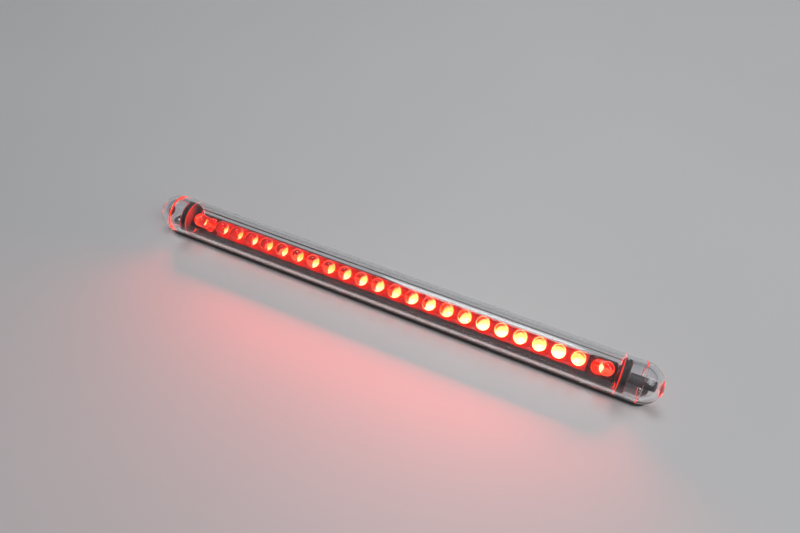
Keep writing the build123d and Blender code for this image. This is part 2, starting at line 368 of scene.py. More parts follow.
def map_range(tree, value, from_low, from_high, to_low=0.0, to_high=1.0):
    node = tree.nodes.new("ShaderNodeMapRange")
    feed(tree, value, node.inputs["Value"])
    feed(tree, from_low, node.inputs["From Min"])
    feed(tree, from_high, node.inputs["From Max"])
    feed(tree, to_low, node.inputs["To Min"])
    feed(tree, to_high, node.inputs["To Max"])
    return node.outputs["Result"]


def stretched_noise(tree, vector, scales):
    """A noise with a scale of its own along each of X, Y and Z."""
    node = tree.nodes.new("ShaderNodeMapping")
    node.inputs["Scale"].default_value = scales
    feed(tree, vector, node.inputs["Vector"])
    return noise(tree, node.outputs["Vector"], scale=1.0, detail=2.0)


def in_lamp_frame(tree, vector):
    """X, Y and Z of a point in the lamp's own frame."""
    turn = LAMP.inverted()
    node = tree.nodes.new("ShaderNodeMapping")
    node.inputs["Location"].default_value = turn.to_translation()
    node.inputs["Rotation"].default_value = turn.to_euler()
    feed(tree, vector, node.inputs["Vector"])
    split = tree.nodes.new("ShaderNodeSeparateXYZ")
    feed(tree, node.outputs["Vector"], split.inputs[0])
    return split.outputs


def polish_group():
    """A polished surface that has been handled: smudges and hair scratches along the bar as a
    roughness, and a faint waviness as a height."""
    group, given, made = new_group(
        "handled_polish",
        [
            ("Vector", "NodeSocketVector", None),
            ("Clean Roughness", "NodeSocketFloat", 0.02),
            ("Smudged Roughness", "NodeSocketFloat", 0.12),
        ],
        ["Roughness", "Height"],
    )
    vector = given["Vector"]
    smudge = map_range(group, noise(group, vector, scale=90.0, detail=3.0), 0.52, 0.72)
    hairs = stretched_noise(group, vector, (120.0, 5000.0, 5000.0))
    hair_mask = map_range(group, hairs, 0.66, 0.74, 0.0, 0.6)
    mask = calculate(group, "MAXIMUM", smudge, hair_mask)
    rough = map_range(
        group, mask, 0.0, 1.0, given["Clean Roughness"], given["Smudged Roughness"]
    )
    waves = stretched_noise(group, vector, (40.0, 160.0, 160.0))
    feed(group, rough, made["Roughness"])
    feed(group, waves, made["Height"])
    return group


def moulded_group():
    """Moulded plastic or rubber: a fine grain as a height, an uneven sheen as a roughness, and
    specks of dust on what faces upwards."""
    group, given, made = new_group(
        "moulded_grain",
        [
            ("Vector", "NodeSocketVector", None),
            ("Grain Scale", "NodeSocketFloat", 4000.0),
            ("Low Roughness", "NodeSocketFloat", 0.45),
            ("High Roughness", "NodeSocketFloat", 0.65),
        ],
        ["Roughness", "Height", "Dust"],
    )
    vector = given["Vector"]
    grain = noise(group, vector, scale=given["Grain Scale"], detail=3.0)
    patches = noise(group, vector, scale=160.0)
    rough = map_range(
        group, patches, 0.35, 0.65, given["Low Roughness"], given["High Roughness"]
    )
    geometry = group.nodes.new("ShaderNodeNewGeometry")
    split = group.nodes.new("ShaderNodeSeparateXYZ")
    feed(group, geometry.outputs["Normal"], split.inputs[0])
    upward = map_range(group, split.outputs["Z"], 0.3, 1.0)
    dots = noise(group, vector, scale=900.0, detail=6.0, roughness=0.7)
    specks = map_range(group, dots, 0.5, 0.7)
    feed(group, rough, made["Roughness"])
    feed(group, grain, made["Height"])
    feed(group, calculate(group, "MULTIPLY", upward, specks), made["Dust"])
    return group


def metal_group():
    """Plated sheet or solder: fine drawn lines as a height, and dull patches."""
    group, given, made = new_group(
        "plated_metal",
        [("Vector", "NodeSocketVector", None), ("Dull Roughness", "NodeSocketFloat", 0.4)],
        ["Roughness", "Height"],
    )
    vector = given["Vector"]
    patches = noise(group, vector, scale=700.0)
    rough = map_range(group, patches, 0.35, 0.7, 0.14, given["Dull Roughness"])
    lines = stretched_noise(group, vector, (9000.0, 9000.0, 900.0))
    feed(group, rough, made["Roughness"])
    feed(group, lines, made["Height"])
    return group


def painted_led_glow_group():
    """How strongly a painted glow from the nearest LED shows at a point beside it: 1 at the LED's
    wall, and 0 a reach away from it or past the end of the row."""
    group, given, made = new_group(
        "led_glow",
        [("Vector", "NodeSocketVector", None), ("Reach", "NodeSocketFloat", 2.0 * MM)],
        ["Glow", "Height"],
    )
    x, y, z = in_lamp_frame(group, given["Vector"])
    steps = calculate(group, "MULTIPLY_ADD", x, 1 / LED_PITCH, 0.5)
    along = calculate(group, "MULTIPLY", calculate(group, "PINGPONG", steps, 0.5), LED_PITCH)
    squares = calculate(group, "MULTIPLY_ADD", y, y, calculate(group, "POWER", along, 2.0))
    outside = calculate(group, "SUBTRACT", calculate(group, "SQRT", squares), LED_RADIUS)
    near = map_range(group, outside, given["Reach"], 0.0)
    in_row = map_range(
        group,
        calculate(group, "ABSOLUTE", x),
        LED_ROW_END + LED_PITCH,
        LED_ROW_END + LED_PITCH / 2,
    )
    feed(group, calculate(group, "MULTIPLY", near, in_row), made["Glow"])
    feed(group, calculate(group, "SUBTRACT", z, BOARD_TOP), made["Height"])
    return group


def painted_edge_glow_group():
    """A painted glow for light that the clear shell carries along its wall: on its cut faces, at
    the seals' lips and round the holes at the tips."""
    group, given, made = new_group(
        "edge_light", [("Vector", "NodeSocketVector", None)], ["Light"]
    )
    x, y, z = in_lamp_frame(group, given["Vector"])
    far = calculate(group, "ABSOLUTE", x)
    geometry = group.nodes.new("ShaderNodeNewGeometry")
    split = group.nodes.new("ShaderNodeSeparateXYZ")
    feed(group, geometry.outputs["Normal"], split.inputs[0])
    tilt = calculate(group, "ABSOLUTE", split.outputs["X"])
    facing = calculate(group, "GREATER_THAN", tilt, END_ON)
    in_tube = calculate(group, "LESS_THAN", far, TUBE_END + FIT_GAP)
    cut_face = calculate(group, "MULTIPLY", facing, in_tube)
    fading = map_range(group, far, SPIGOT_START, TUBE_END, 1.0, SEAM_SHARE)
    lit_face = calculate(group, "MULTIPLY", cut_face, fading)
    squares = calculate(group, "MULTIPLY_ADD", y, y, calculate(group, "POWER", z, 2.0))
    off_axis = calculate(group, "SQRT", squares)
    tip_glow_edge = TIP_HOLE_RADIUS + TIP_GLOW_WIDTH
    at_tip = map_range(group, off_axis, tip_glow_edge, TIP_HOLE_RADIUS, 0.0, TIP_SHARE)
    in_dome = calculate(group, "GREATER_THAN", far, TUBE_END)
    lit_tip = calculate(group, "MULTIPLY", at_tip, in_dome)
    from_lip = calculate(group, "ABSOLUTE", calculate(group, "SUBTRACT", far, SEAL_INNER_FACE))
    at_lip = map_range(group, from_lip, LIP_GLOW_WIDTH, LIP_GLOW_CORE, 0.0, LIP_SHARE)
    on_bore = calculate(group, "LESS_THAN", off_axis, BORE_RADIUS + FIT_GAP)
    lit_lip = calculate(group, "MULTIPLY", at_lip, on_bore)
    lit_end = calculate(group, "MAXIMUM", lit_face, lit_tip)
    feed(group, calculate(group, "MAXIMUM", lit_end, lit_lip), made["Light"])
    return group


POLISH = polish_group()
MOULDED = moulded_group()
METAL = metal_group()
PAINTED_LED_GLOW = painted_led_glow_group()
PAINTED_EDGE_GLOW = painted_edge_glow_group()


# ---- materials

SOCKETS = {
    "base_color": "Base Color",
    "emission_color": "Emission Color",
    "emission_strength": "Emission Strength",
    "ior": "IOR",
    "metallic": "Metallic",
    "transmission": "Transmission Weight",
}


class Shader:
    """A material with one Principled shader, its Object coordinates and a group in place."""

    def __init__(self, name, **values):
        self.material = bpy.data.materials.new(name)
        self.material.use_nodes = True
        self.tree = self.material.node_tree
        self.principled = self.tree.nodes["Principled BSDF"]
        coordinates = self.tree.nodes.new("ShaderNodeTexCoord")
        self.vector = coordinates.outputs["Object"]
        for key, value in values.items():
            colour = (*value, 1) if isinstance(value, tuple) else value
            self.principled.inputs[SOCKETS[key]].default_value = colour

    def link(self, socket, input_name):
        self.tree.links.new(socket, self.principled.inputs[input_name])

    def effect(self, group, **values):
        node = self.tree.nodes.new("ShaderNodeGroup")
        node.node_tree = group
        feed(self.tree, self.vector, node.inputs["Vector"])
        for key, value in values.items():
            node.inputs[key.replace("_", " ").title()].default_value = value
        return node.outputs

    def bump(self, height, strength, distance):
        node = self.tree.nodes.new("ShaderNodeBump")
        node.inputs["Strength"].default_value = strength
        node.inputs["Distance"].default_value = distance
        feed(self.tree, height, node.inputs["Height"])
        self.link(node.outputs["Normal"], "Normal")

    def blend(self, mask, first, second, input_name="Base Color"):
        """A colour that goes from the first to the second as the mask goes from 0 to 1."""
        node = self.tree.nodes.new("ShaderNodeMix")
        node.data_type = "RGBA"
        feed(self.tree, mask, node.inputs["Factor"])
        node.inputs["A"].default_value = (*first, 1)
        node.inputs["B"].default_value = (*second, 1)
        self.link(node.outputs["Result"], input_name)

    def moulded(self, colour, dusty_colour, bump_strength, **values):
        """The moulded grain, its dust and its sheen."""
        moulded = self.effect(MOULDED, **values)
        self.link(moulded["Roughness"], "Roughness")
        self.blend(moulded["Dust"], colour, dusty_colour)
        self.bump(moulded["Height"], bump_strength, GRAIN_DEPTH)

    def plated(self, bump_strength, dull_roughness):
        metal = self.effect(METAL, dull_roughness=dull_roughness)
        self.link(metal["Roughness"], "Roughness")
        self.bump(metal["Height"], bump_strength, GRAIN_DEPTH)

    def polished(self, clean, smudged, bump_strength):
        polish = self.effect(POLISH, clean_roughness=clean, smudged_roughness=smudged)
        self.link(polish["Roughness"], "Roughness")
        self.bump(polish["Height"], bump_strength, WAVE_DEPTH)

    def painted_led_glow(self, reach, colour, dark=(0, 0, 0)):
        """A painted glow round each LED, as emission colour on this surface."""
        glow = self.effect(PAINTED_LED_GLOW, reach=reach)["Glow"]
        self.blend(glow, dark, colour, "Emission Color")

    def painted_edge_glow(self):
        # Painted glow: red emission at the shell's cut faces, the seals' lips and the tip holes.
        light = self.effect(PAINTED_EDGE_GLOW)["Light"]
        self.blend(light, (0, 0, 0), LED_RED, "Emission Color")

    def let_lamp_light_through(self, colour):
        """Shadow rays pass straight through, so that the LEDs light what is outside."""
        output = self.tree.nodes["Material Output"]
        clear = self.tree.nodes.new("ShaderNodeBsdfTransparent")
        clear.inputs["Color"].default_value = (*colour, 1)
        path = self.tree.nodes.new("ShaderNodeLightPath")
        mixer = self.tree.nodes.new("ShaderNodeMixShader")
        self.tree.links.new(path.outputs["Is Shadow Ray"], mixer.inputs["Fac"])
        self.tree.links.new(self.principled.outputs["BSDF"], mixer.inputs[1])
        self.tree.links.new(clear.outputs["BSDF"], mixer.inputs[2])
        self.tree.links.new(mixer.outputs["Shader"], output.inputs["Surface"])


def clear_acrylic():
    """The extruded tube: clear, polished, with faint draw lines along it."""
    shader = Shader(
        "clear_acrylic",
        base_color=(0.98, 0.985, 0.99),
        transmission=1.0,
        ior=1.49,
        emission_strength=EDGE_STRENGTH,
    )
    shader.polished(0.01, 0.09, 0.1)
    # Painted red glow at the tube's edges, as emission.
    shader.painted_edge_glow()
    shader.let_lamp_light_through(SHELL_SHADE)
    return shader.material


def clear_polycarbonate():
    """The moulded end caps: clear, with the slight ripple of moulding."""
    shader = Shader(
        "clear_polycarbonate",
        base_color=(0.97, 0.98, 0.99),
        transmission=1.0,
        ior=1.58,
        emission_strength=EDGE_STRENGTH,
    )
    shader.polished(0.015, 0.12, 0.25)
    # Painted red glow at the caps' edges and tip holes, as emission.
    shader.painted_edge_glow()
    shader.let_lamp_light_through(SHELL_SHADE)
    return shader.material


def red_epoxy():
    """The LEDs' bodies: clear red resin, glowing a little all through."""
    shader = Shader(
        "red_epoxy",
        base_color=(1.0, 0.13, 0.08),
        transmission=1.0,
        ior=1.54,
        emission_color=LED_RED,
        emission_strength=0.3,
    )
    shader.polished(0.0, 0.05, 0.03)
    shader.let_lamp_light_through((0.95, 0.5, 0.45))
    return shader.material


def cup_light():
    """The reflector cup full of the die's light, with a painted brightness: white where it is
    brightest, amber where it is dimmest."""
    shader = Shader("cup_light", base_color=(0.9, 0.6, 0.4), emission_strength=8.0)
    painted_brightness = shader.tree.nodes.new("ShaderNodeAttribute")
    painted_brightness.attribute_name = CUP_BRIGHTNESS_NAME
    ramp = shader.tree.nodes.new("ShaderNodeValToRGB")
    feed(shader.tree, painted_brightness.outputs["Fac"], ramp.inputs["Fac"])
    cold, hot = ramp.color_ramp.elements
    cold.color = (0.3, 0.06, 0.003, 1)
    hot.color = (1.0, 0.6, 0.4, 1)
    warm = ramp.color_ramp.elements.new(0.6)
    warm.color = (0.7, 0.16, 0.025, 1)
    shader.link(ramp.outputs["Color"], "Emission Color")
    grain = noise(shader.tree, shader.vector, scale=6000.0)
    shader.link(map_range(shader.tree, grain, 0.3, 0.7, 0.2, 0.5), "Roughness")
    return shader.material


def die_light():
    """The chip itself, lit a little unevenly."""
    shader = Shader("die_light", base_color=(0.9, 0.6, 0.4), emission_strength=12.0)
    grain = noise(shader.tree, shader.vector, scale=9000.0)
    shader.blend(grain, (0.9, 0.55, 0.25), (1.0, 0.8, 0.5), "Emission Color")
    shader.link(map_range(shader.tree, grain, 0.3, 0.7, 0.3, 0.6), "Roughness")
    return shader.material


def gold_wire():
    shader = Shader("gold_wire", base_color=(0.9, 0.62, 0.25), metallic=1.0)
    shader.plated(0.1, 0.3)
    return shader.material


def black_rubber():
    shader = Shader("black_rubber")
    shader.moulded(
        (0.014, 0.014, 0.015),
        (0.06, 0.06, 0.06),
        0.25,
        grain_scale=2500.0,
        low_roughness=0.5,
        high_roughness=0.75,
    )
    return shader.material


def gland_rubber():
    shader = Shader("gland_rubber")
    shader.moulded(
        (0.016, 0.016, 0.018),
        (0.07, 0.07, 0.07),
        0.2,
        grain_scale=1800.0,
        low_roughness=0.38,
        high_roughness=0.6,
    )
    return shader.material


def base_plastic():
    shader = Shader("base_plastic")
    shader.moulded(
        (0.010, 0.010, 0.011),
        (0.045, 0.045, 0.047),
        0.35,
        grain_scale=5000.0,
        low_roughness=0.42,
        high_roughness=0.62,
    )
    return shader.material


def foam_tape():
    shader = Shader("foam_tape")
    shader.moulded(
        (0.03, 0.03, 0.03),
        (0.09, 0.09, 0.09),
        0.8,
        grain_scale=9000.0,
        low_roughness=0.8,
        high_roughness=0.95,
    )
    return shader.material


def solder_mask():
    """The board's black varnish, with a painted red glow beside the LEDs."""
    shader = Shader("solder_mask", emission_strength=0.12)
    shader.moulded(
        (0.010, 0.012, 0.012),
        (0.03, 0.035, 0.035),
        0.1,
        grain_scale=3000.0,
        low_roughness=0.22,
        high_roughness=0.35,
    )
    # Painted glow: red emission round each LED.
    shader.painted_led_glow(2.5 * MM, LED_RED)
    return shader.material


def varnished_copper():
    """Copper under the black varnish: a little lighter than the bare board."""
    shader = Shader("varnished_copper")
    shader.moulded(
        (0.035, 0.030, 0.024),
        (0.06, 0.055, 0.05),
        0.1,
        grain_scale=3000.0,
        low_roughness=0.2,
        high_roughness=0.32,
    )
    return shader.material


def red_plastic():
    """The LED carrier: red moulded plastic, with a painted glow that is dim all over and red round
    each LED.
    """
    shader = Shader("red_plastic", emission_strength=0.5)
    shader.moulded(
        (0.42, 0.010, 0.008),
        (0.5, 0.03, 0.025),
        0.2,
        grain_scale=3500.0,
        low_roughness=0.3,
        high_roughness=0.45,
    )
    # Painted glow: dim red emission everywhere, full LED red near each LED.
    shader.painted_led_glow(1.8 * MM, LED_RED, (0.14, 0.002, 0.001))
    return shader.material


def plated_steel():
    """The lead frames: plated, with a painted orange glow where they are inside the LEDs."""
    shader = Shader(
        "plated_steel", base_color=(0.75, 0.75, 0.74), metallic=1.0, emission_strength=1.2
    )
    shader.plated(0.2, 0.42)
    # Painted glow: orange emission on the leads, rising from the flange's top to the cup.
    height = shader.effect(PAINTED_LED_GLOW, reach=1.0 * MM)["Height"]
    lit = map_range(shader.tree, height, FLANGE_HEIGHT, CUP_TOP)
    shader.blend(lit, (0, 0, 0), (1.0, 0.13, 0.05), "Emission Color")
    return shader.material


def bright_solder():
    shader = Shader("bright_solder", base_color=(0.72, 0.72, 0.73), metallic=1.0)
    shader.plated(0.3, 0.3)
    return shader.material


def chip_ceramic():
    shader = Shader("chip_ceramic")
    shader.moulded(
        (0.02, 0.02, 0.022),
        (0.05, 0.05, 0.05),
        0.2,
        grain_scale=6000.0,
        low_roughness=0.25,
        high_roughness=0.4,
    )
    return shader.material


def floor_paint():
    shader = Shader("floor_paint")
    patches = noise(shader.tree, shader.vector, scale=8.0, detail=5.0)
    shader.blend(patches, (0.60, 0.60, 0.60), (0.64, 0.64, 0.64))
    shader.link(map_range(shader.tree, patches, 0.3, 0.7, 0.42, 0.5), "Roughness")
    return shader.material


# ---- the LEDs


def led_bullet():
    """One LED's body, foot at the origin: a flange with soft edges, a barrel and a dome."""
    barrel_top = LED_HEIGHT - LED_RADIUS
    dome = arc(barrel_top, LED_RADIUS, math.pi / 2, DOME_POLE_ANGLE, ROUND_SEGMENTS // 4)
    outline = [
        (0, FLANGE_RADIUS - FLANGE_ROUNDING),
        (FLANGE_ROUNDING, FLANGE_RADIUS),
        (FLANGE_HEIGHT - FLANGE_ROUNDING, FLANGE_RADIUS),
        (FLANGE_HEIGHT, FLANGE_RADIUS - FLANGE_ROUNDING),
        (FLANGE_HEIGHT, LED_RADIUS + FLANGE_ROUNDING),
        (FLANGE_HEIGHT + FLANGE_ROUNDING, LED_RADIUS),
        *dome,
    ]
    body = lathe("led_bullet", outline, ROUND_SEGMENTS, filled=True)
    smooth(body)
    return body


def cup_painted_brightness(point):
    """The cup's painted brightness at a point: 1 on its floor, less up the wall, and least on the
    wall's back and left, where a painted shade darkens it."""
    climb = (point.z - CUP_TOP + CUP_DEPTH) / CUP_DEPTH
    # Painted shade: the back and left of the cup's wall are painted darker.
    away = max(point.y - point.x / 3, 0) / CUP_MOUTH_RADIUS
    return 1 - RIM_DIMMING * climb - BACK_PAINTED_SHADE * away


def cup_liner():
    """The silvered inside of one reflector cup, in the LED's frame: a bowl of thin sheet."""
    floor = CUP_TOP - CUP_DEPTH + LINER_GAP
    floor_radius = CUP_FLOOR_RADIUS - LINER_GAP
    mouth_radius = CUP_MOUTH_RADIUS - LINER_GAP
    steps = [step / LINER_STEPS for step in range(LINER_STEPS + 1)]
    outer = [
        (floor + share * CUP_DEPTH, floor_radius + share * (mouth_radius - floor_radius))
        for share in steps
    ]
    inner = [(height + LINER_GAP, radius - LINER_GAP) for height, radius in reversed(outer)]
    centre = (inner[-1][0], LINER_GAP)
    bowl = lathe("cup_liner", [*outer, *inner, centre], SMALL_SEGMENTS, filled=True)
    smooth(bowl)
    painted_brightness = bowl.data.attributes.new(CUP_BRIGHTNESS_NAME, "FLOAT", "POINT")
    for vertex in bowl.data.vertices:
        painted_brightness.data[vertex.index].value = cup_painted_brightness(vertex.co)
    return bowl


def bond_wire():
    """The gold wire that loops from the die to the flag, with the ball it starts from."""
    middle = Vector((LEAD_REACH / 2, 0, (DIE_TOP + FLAG_TOP) / 2))
    wire = start_piece(
        "bond_wire",
        bpy.ops.mesh.primitive_circle_add,
        vertices=8,
        radius=WIRE_RADIUS,
        fill_type="NGON",
        location=(0, 0, DIE_TOP),
    )
    bake_place(wire)
    edit(wire)
    bpy.ops.mesh.select_all(action="SELECT")
    bpy.ops.mesh.spin(steps=16, angle=math.pi, center=middle, axis=(0, 1, 0))
    bpy.ops.mesh.select_all(action="SELECT")
    bpy.ops.mesh.remove_doubles(threshold=WIRE_RADIUS / 20)
    bpy.ops.mesh.normals_make_consistent(inside=False)
    leave_edit()
    ball = start_piece(
        "bond_ball",
        bpy.ops.mesh.primitive_uv_sphere_add,
        segments=12,
        ring_count=8,
        radius=BALL_RADIUS,
        location=(0, 0, DIE_TOP),
    )
    edit(ball)
    bpy.ops.mesh.select_all(action="SELECT")
    bpy.ops.transform.resize(value=(1, 1, 0.6))
    leave_edit()
    bake_place(ball)
    wire = join_pieces("bond_wire", [wire, ball])
    smooth(wire)
    return wire


def led_seats():
    """A matrix for each LED in the lamp's frame. The two end ones lean outwards, each on the
    outer edge of its flange."""
    seats = []
    for index in range(LED_COUNT):
        x = -LED_ROW_END + index * LED_PITCH
        side = {0: -1, LED_COUNT - 1: 1}.get(index, 0)
        edge = side * FLANGE_RADIUS
        lean = Matrix.Rotation(side * END_LED_LEAN, 4, "Y")
        foot = Matrix.Translation((x + edge, 0, BOARD_TOP))
        seats.append(foot @ lean @ Matrix.Translation((-edge, 0, 0)))
    return seats


def make_leds():
    epoxy = red_epoxy()
    light = cup_light()
    bullet = led_bullet()
    liner = cup_liner()
    wire = bond_wire()
    draws = random.Random(LED_COUNT)
    wires = []
    for index, seat in enumerate(led_seats(), start=1):
        place = LAMP @ seat
        body = copy_piece(bullet, f"led_lens_{index:02d}", place)
        finish_piece(body, epoxy, "red_epoxy", f"led_{index:02d}")
        cup = copy_piece(liner, f"led_cup_{index:02d}", place)
        strength = draws.uniform(DIMMEST_LED, 1)
        for value in cup.data.attributes[CUP_BRIGHTNESS_NAME].data:
            value.value *= strength
        finish_piece(cup, light, "lit_die")
        wires.append(copy_piece(wire, f"wire_{index:02d}", place))
    finish_piece(join_pieces("led_bond_wires", wires), gold_wire(), "lead_metal")
    for pattern in (bullet, liner, wire):
        bpy.data.objects.remove(pattern)


# ---- the clear shell and the rubber and plastic round it


def pull_rail(tube, side):
    """Draws one rail out of the tube's inner wall, above the board's edge, as far as the LED
    carrier. Side is 1 for the back and -1 for the front."""
    low = BOARD_TOP + RAIL_GAP
    high = low + RAIL_HEIGHT

    def on_rail(middle):
        inside = math.hypot(middle.y, middle.z) < BORE_RADIUS + TUBE_WALL / 4
        level = low < middle.z < high and middle.y * side > 0
        return inside and level and abs(middle.x) < SEAL_INNER_FACE / 2

    edit(tube)
    select_faces(tube, on_rail)
    bpy.ops.mesh.extrude_region_move()
    mesh = bmesh.from_edit_mesh(tube.data)
    for vertex in mesh.verts:
        if vertex.select:
            vertex.co.y = side * RAIL_INNER_EDGE
    bmesh.update_edit_mesh(tube.data)
    leave_edit()


def make_clear_tube():
    """The extruded tube, with the two rails that keep the board down."""
    ease = SEAM_ROUNDING
    outline = [
        (-TUBE_END, BORE_RADIUS),
        (-TUBE_END, TUBE_RADIUS - ease),
        (ease - TUBE_END, TUBE_RADIUS),
        (TUBE_END - ease, TUBE_RADIUS),
        (TUBE_END, TUBE_RADIUS - ease),
        (TUBE_END, BORE_RADIUS),
        (SEAL_INNER_FACE, BORE_RADIUS),
        (-SEAL_INNER_FACE, BORE_RADIUS),
        (-TUBE_END, BORE_RADIUS),
    ]
    tube = lathe("clear_tube", outline, TUBE_SEGMENTS, filled=False)
    tube.data.transform(ALONG_BAR)
    for side in (-1, 1):
        pull_rail(tube, side)
    tube.data.transform(LAMP)
    smooth(tube)
    finish_piece(tube, clear_acrylic(), "clear_tube", "lens_tube")


def make_end_caps():
    """The two domed caps, each with its spigot and the hole at its tip."""
    outer_tip = math.asin(TIP_HOLE_RADIUS / TUBE_RADIUS)
    inner_tip = math.asin(TIP_HOLE_RADIUS / CAVITY_RADIUS)
    seam = math.pi / 2 - SEAM_ROUNDING / TUBE_RADIUS
    outline = [
        (SPIGOT_START, CAVITY_RADIUS),
        (SPIGOT_START, SPIGOT_RADIUS - SEAM_ROUNDING),
        (SPIGOT_START + SEAM_ROUNDING, SPIGOT_RADIUS),
        (TUBE_END, SPIGOT_RADIUS),
        (TUBE_END, TUBE_RADIUS - SEAM_ROUNDING),
        *arc(TUBE_END, TUBE_RADIUS, seam, outer_tip, DOME_STEPS),
        *arc(TUBE_END, CAVITY_RADIUS, inner_tip, math.pi / 2, DOME_STEPS),
        (SPIGOT_START, CAVITY_RADIUS),
    ]
    pattern = lathe("cap_pattern", outline, FINE_SEGMENTS, filled=False)
    smooth(pattern)
    material = clear_polycarbonate()
    right = copy_piece(pattern, "right_clear_cap", TO_RIGHT)
    finish_piece(right, material, "clear_cap", "right_end_cap")
    left = copy_piece(pattern, "left_clear_cap", TO_LEFT)
    finish_piece(left, material, "clear_cap", "left_end_cap")
    bpy.data.objects.remove(pattern)


def seal_rim():
    """A seal's edge from its inner face to its outer one: two chamfered lips and a groove."""
    groove = (SEAL_INNER_FACE + SPIGOT_START - SEAL_GROOVE_WIDTH) / 2
    groove_end = groove + SEAL_GROOVE_WIDTH
    floor_radius = SPIGOT_RADIUS - SEAL_GROOVE_DEPTH
    return [
        (SEAL_INNER_FACE, SPIGOT_RADIUS - SEAL_CHAMFER),
        (SEAL_INNER_FACE + SEAL_CHAMFER, SPIGOT_RADIUS),
        (groove, SPIGOT_RADIUS),
        (groove, floor_radius),
        (groove_end, floor_radius),
        (groove_end, SPIGOT_RADIUS),
        (SPIGOT_START - SEAL_CHAMFER, SPIGOT_RADIUS),
        (SPIGOT_START, SPIGOT_RADIUS - SEAL_CHAMFER),
    ]


def make_seals():
    """A plain disc at the left, and at the right one with the hole for the gland."""
    material = black_rubber()
    left = lathe("left_seal_disc", seal_rim(), FINE_SEGMENTS, filled=True)
    left.data.transform(TO_LEFT)
    hole = TIP_HOLE_RADIUS
    ring = [(SEAL_INNER_FACE, hole), *seal_rim(), (SPIGOT_START, hole), (SEAL_INNER_FACE, hole)]
    right = lathe("right_seal_disc", ring, FINE_SEGMENTS, filled=False)
    right.data.transform(TO_RIGHT)
    for seal, node in ((left, "left_seal"), (right, "right_seal")):
        smooth(seal)
        finish_piece(seal, material, "black_rubber", node)


def make_gland(material):
    """The rubber sleeve that a cable would come in by, with its collar behind the seal."""
    rounding = FIT_GAP
    outline = [
        (COLLAR_START, GLAND_BORE_RADIUS + rounding),
        (COLLAR_START, COLLAR_RADIUS - rounding),
        (COLLAR_START + rounding, COLLAR_RADIUS),
        (SEAL_INNER_FACE, COLLAR_RADIUS),
        (SEAL_INNER_FACE, GLAND_RADIUS),
        *arc(
            TUBE_END,
            TUBE_RADIUS,
            math.asin(GLAND_RADIUS / TUBE_RADIUS),
            math.asin(GLAND_BORE_RADIUS / TUBE_RADIUS),
            GLAND_FACE_STEPS,
        ),
        (COLLAR_START + rounding, GLAND_BORE_RADIUS),
        (COLLAR_START, GLAND_BORE_RADIUS + rounding),
    ]
    gland = lathe("gland_sleeve", outline, ROUND_SEGMENTS, filled=False)
    gland.data.transform(TO_RIGHT)
    smooth(gland)
    finish_piece(gland, material, "gland_rubber", "cable_gland")


def make_tip_plug(material):
    """The plug in the left cap's hole: a barb inside, a shank, and a face flush with the dome."""
    barb_radius = GLAND_RADIUS + BARB_RIM
    barb_start = TUBE_END + CAVITY_RADIUS - BARB_LENGTH
    seat_radius = CAVITY_RADIUS - FIT_GAP
    outline = [
        (barb_start, barb_radius - BARB_RIM / 2),
        (barb_start + BARB_RIM / 2, barb_radius),
        *arc(
            TUBE_END,
            seat_radius,
            math.asin(barb_radius / seat_radius),
            math.asin(GLAND_RADIUS / seat_radius),
            BARB_STEPS,
        ),
        *arc(
            TUBE_END,
            TUBE_RADIUS,
            math.asin(GLAND_RADIUS / TUBE_RADIUS),
            DOME_POLE_ANGLE,
            PLUG_FACE_STEPS,
        ),
    ]
    plug = lathe("tip_plug", outline, ROUND_SEGMENTS, filled=True)
    plug.data.transform(TO_LEFT)
    smooth(plug)
    finish_piece(plug, material, "gland_rubber", "blanking_plug")


def make_rubber():
    make_seals()
    material = gland_rubber()
    make_gland(material)
    make_tip_plug(material)


def make_smooth_copies():
    """The base and the carrier again, with their round faces smooth."""
    for node, name, material, slot in (
        ("mounting_base", "base_strip", base_plastic(), "base_plastic"),
        ("led_carrier", "carrier_strip", red_plastic(), "carrier_plastic"),
    ):
        finish_piece(smooth_copy(node, name), material, slot, node)


# ---- copper on the back of the board


def copper_run(x_from, y_from, x_to, y_to):
    """The box that a straight run of copper covers, as x low, x high, y low and y high."""
    half = TRACK_WIDTH / 2
    x_low, x_high = sorted((x_from, x_to))
    y_low, y_high = sorted((y_from, y_to))
    return x_low - half, x_high + half, y_low - half, y_high + half


def string_runs(first, second, third):
    """The copper of one string: supply, three LEDs and the resistor between two of them."""
    gap = (first + second) / 2
    return [
        copper_run(first - LEAD_REACH, 0, first - LEAD_REACH, -SUPPLY_TRACK_Y),
        copper_run(first + LEAD_REACH, 0, first + LEAD_REACH, -CHIP_END_Y),
        copper_run(first + LEAD_REACH, -CHIP_END_Y, gap, -CHIP_END_Y),
        copper_run(gap, CHIP_END_Y, second - LEAD_REACH, CHIP_END_Y),
        copper_run(second - LEAD_REACH, CHIP_END_Y, second - LEAD_REACH, 0),
        copper_run(second + LEAD_REACH, 0, third - LEAD_REACH, 0),
        copper_run(third + LEAD_REACH, 0, third + LEAD_REACH, SUPPLY_TRACK_Y),
    ]


def board_copper():
    """Every run of copper: the strings, the two supply tracks, the diode and the terminals."""
    feet = [-LED_ROW_END + index * LED_PITCH for index in range(LED_COUNT)]
    runs = []
    for start in range(0, LED_COUNT, LEDS_PER_STRING):
        runs += string_runs(*feet[start : start + LEDS_PER_STRING])
    diode_x = feet[-1] - LED_PITCH / 2
    for side in (-1, 1):
        track_y = side * SUPPLY_TRACK_Y
        runs.append(copper_run(-LED_ROW_END - LEAD_REACH, track_y, TERMINAL_X, track_y))
        runs.append(copper_run(diode_x, side * DIODE_TAB_Y, diode_x, track_y))
        runs.append(copper_run(TERMINAL_X, side * TERMINAL_Y, TERMINAL_X, track_y))
    return runs


